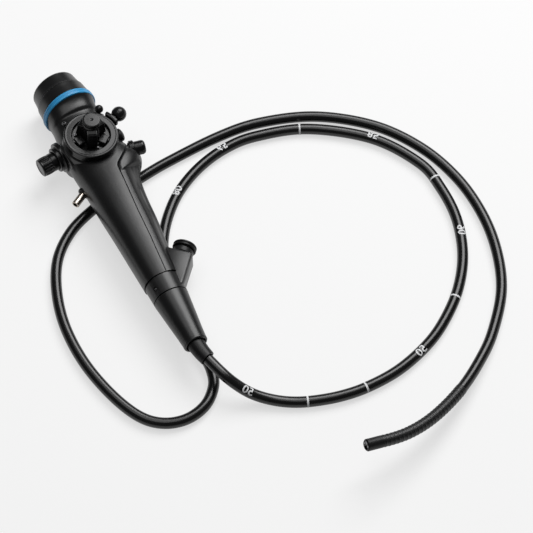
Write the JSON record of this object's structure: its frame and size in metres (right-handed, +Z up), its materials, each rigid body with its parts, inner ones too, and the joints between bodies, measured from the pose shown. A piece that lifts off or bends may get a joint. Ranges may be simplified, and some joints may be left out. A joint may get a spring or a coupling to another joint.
{
  "type": "flexible endoscope",
  "caption": "Flexible endoscope lying coiled: a handle with eyepiece, star knob, levers, suction valve and side port, and a long thin tube ending in a jointed bending tip.",
  "frame": {"origin": "centre of the handle on the floor it lies on: middle of the box round the handle, boot included and tube left out, at its lowest point", "axes": "+Y along the grip towards the eyepiece, +X towards the side with the port and the remote button, +Z up, with the star knob on top"},
  "size_m": [0.231, 0.2768, 0.0462],
  "materials": {
    "black_plastic": "satin black moulded plastic",
    "soft_black": "dull black rubber and rubber-like plastic",
    "tube_skin": "smooth glossy black sheath",
    "blue_band": "smooth blue",
    "steel": "warm grey machined steel",
    "brass": "plain turned brass",
    "glass": "clear polished glass",
    "fibre": "pale bundle of fibres in a thin sleeve"
  },
  "bodies": {
    "handle": {"main_shell": "black_plastic", "side_cover": "black_plastic", "chassis_rail": "steel", "lens_barrel": "soft_black", "blue_band": "blue_band", "eyepiece_cup": "black_plastic", "eyepiece_lens": "glass", "bundle_ferrule": "brass", "image_bundle": "fibre", "neck_screw": "steel", "collar_screw": "steel", "cover_screw_upper": "steel", "cover_screw_lower": "steel", "shaft_bush": "brass", "knob_disc": "black_plastic", "disc_screw_1": "steel", "disc_screw_2": "steel", "disc_screw_3": "steel", "valve_housing": "black_plastic", "valve_guide": "brass", "nipple_collar": "soft_black", "suction_nipple": "steel", "button_collar": "black_plastic", "lower_collar": "black_plastic", "port_neck": "soft_black", "channel_tube": "soft_black", "nose_cone": "black_plastic", "boot": "soft_black", "insertion_tube": "tube_skin", "pull_wire_right": "steel", "pull_wire_left": "steel"},
    "knob": {"star_knob": "soft_black", "knob_cap": "black_plastic", "knob_shaft": "steel", "wire_drum": "brass"},
    "brake": {"brake_lever": "soft_black", "brake_ball": "soft_black"},
    "lock": {"lock_lever": "soft_black", "lock_ball": "soft_black"},
    "focus": {"focus_ring": "black_plastic"},
    "valve": {"valve_knob": "soft_black", "valve_stem": "steel"},
    "button": {"remote_button": "soft_black"},
    "dome": {"dome_button": "soft_black"},
    "cap": {"port_cap": "soft_black"},
    "link_1": {"bending_link_1": "soft_black"},
    "link_2": {"bending_link_2": "soft_black"},
    "link_3": {"bending_link_3": "soft_black"},
    "link_4": {"bending_link_4": "soft_black"},
    "link_5": {"bending_link_5": "soft_black"},
    "link_6": {"bending_link_6": "soft_black"},
    "link_7": {"bending_link_7": "soft_black"},
    "link_8": {"bending_link_8": "soft_black", "distal_tip": "soft_black", "distal_lens": "glass", "light_guide_upper": "glass", "light_guide_lower": "glass"}
  },
  "joints": [
    {"name": "knob_turn", "type": "hinge", "parent": "handle", "child": "knob", "pos_m": [0.0009, 0.04711, 0.01525], "axis": [0.0591, -0.0522, 0.9969], "range_deg": [-75, 100]},
    {"name": "brake_swing", "type": "hinge", "parent": "handle", "child": "brake", "pos_m": [0.0009, 0.04711, 0.01525], "axis": [0.0591, -0.0522, 0.9969], "range_deg": [-32, 4]},
    {"name": "lock_swing", "type": "hinge", "parent": "handle", "child": "lock", "pos_m": [0.0009, 0.04711, 0.01525], "axis": [0.0591, -0.0522, 0.9969], "range_deg": [-4, 34]},
    {"name": "focus_turn", "type": "hinge", "parent": "handle", "child": "focus", "pos_m": [0.00505, 0.04491, 0.01525], "axis": [-0.1045, 0.9945, 0], "range_deg": [-60, 60]},
    {"name": "valve_press", "type": "slide", "parent": "handle", "child": "valve", "axis": [0.9887, 0.15, 0], "range_m": [0, 0.0024], "stiffness_N_per_m": 200, "springref_m": -0.003},
    {"name": "button_press", "type": "slide", "parent": "handle", "child": "button", "axis": [-0.9854, 0.1701, 0], "range_m": [0, 0.0014], "stiffness_N_per_m": 200, "springref_m": -0.002},
    {"name": "dome_press", "type": "slide", "parent": "handle", "child": "dome", "axis": [-0.9707, 0, -0.2402], "range_m": [0, 0.0008], "stiffness_N_per_m": 200, "springref_m": -0.002},
    {"name": "cap_lift", "type": "slide", "parent": "handle", "child": "cap", "axis": [0.6428, 0.766, 0], "range_m": [0, 0.02]},
    {"name": "bend_1", "type": "hinge", "parent": "handle", "child": "link_1", "pos_m": [0.10928, -0.16319, 0.00939], "axis": [0.1551, 0.0937, 0.9834], "range_deg": [-15, 20]},
    {"name": "bend_2", "type": "hinge", "parent": "link_1", "child": "link_2", "pos_m": [0.10325, -0.16648, 0.01071], "axis": [0.1723, 0.0893, 0.981], "range_deg": [-15, 20]},
    {"name": "bend_3", "type": "hinge", "parent": "link_2", "child": "link_3", "pos_m": [0.0971, -0.16951, 0.0121], "axis": [0.1848, 0.0853, 0.9791], "range_deg": [-15, 20]},
    {"name": "bend_4", "type": "hinge", "parent": "link_3", "child": "link_4", "pos_m": [0.09081, -0.17222, 0.01356], "axis": [0.2007, 0.0791, 0.9765], "range_deg": [-15, 20]},
    {"name": "bend_5", "type": "hinge", "parent": "link_4", "child": "link_5", "pos_m": [0.08439, -0.17451, 0.01512], "axis": [0.2191, 0.0685, 0.9733], "range_deg": [-15, 20]},
    {"name": "bend_6", "type": "hinge", "parent": "link_5", "child": "link_6", "pos_m": [0.07782, -0.17628, 0.01677], "axis": [0.2331, 0.0517, 0.9711], "range_deg": [-15, 20]},
    {"name": "bend_7", "type": "hinge", "parent": "link_6", "child": "link_7", "pos_m": [0.07113, -0.17745, 0.01846], "axis": [0.2422, 0.028, 0.9698], "range_deg": [-15, 20]},
    {"name": "bend_8", "type": "hinge", "parent": "link_7", "child": "link_8", "pos_m": [0.06436, -0.17784, 0.02018], "axis": [0.2456, 0.0026, 0.9694], "range_deg": [-15, 20]}
  ],
  "couplings": [
    {"joint": "bend_1", "follows": "knob_turn", "ratio": 0.2},
    {"joint": "bend_2", "follows": "knob_turn", "ratio": 0.2},
    {"joint": "bend_3", "follows": "knob_turn", "ratio": 0.2},
    {"joint": "bend_4", "follows": "knob_turn", "ratio": 0.2},
    {"joint": "bend_5", "follows": "knob_turn", "ratio": 0.2},
    {"joint": "bend_6", "follows": "knob_turn", "ratio": 0.2},
    {"joint": "bend_7", "follows": "knob_turn", "ratio": 0.2},
    {"joint": "bend_8", "follows": "knob_turn", "ratio": 0.2}
  ]
}
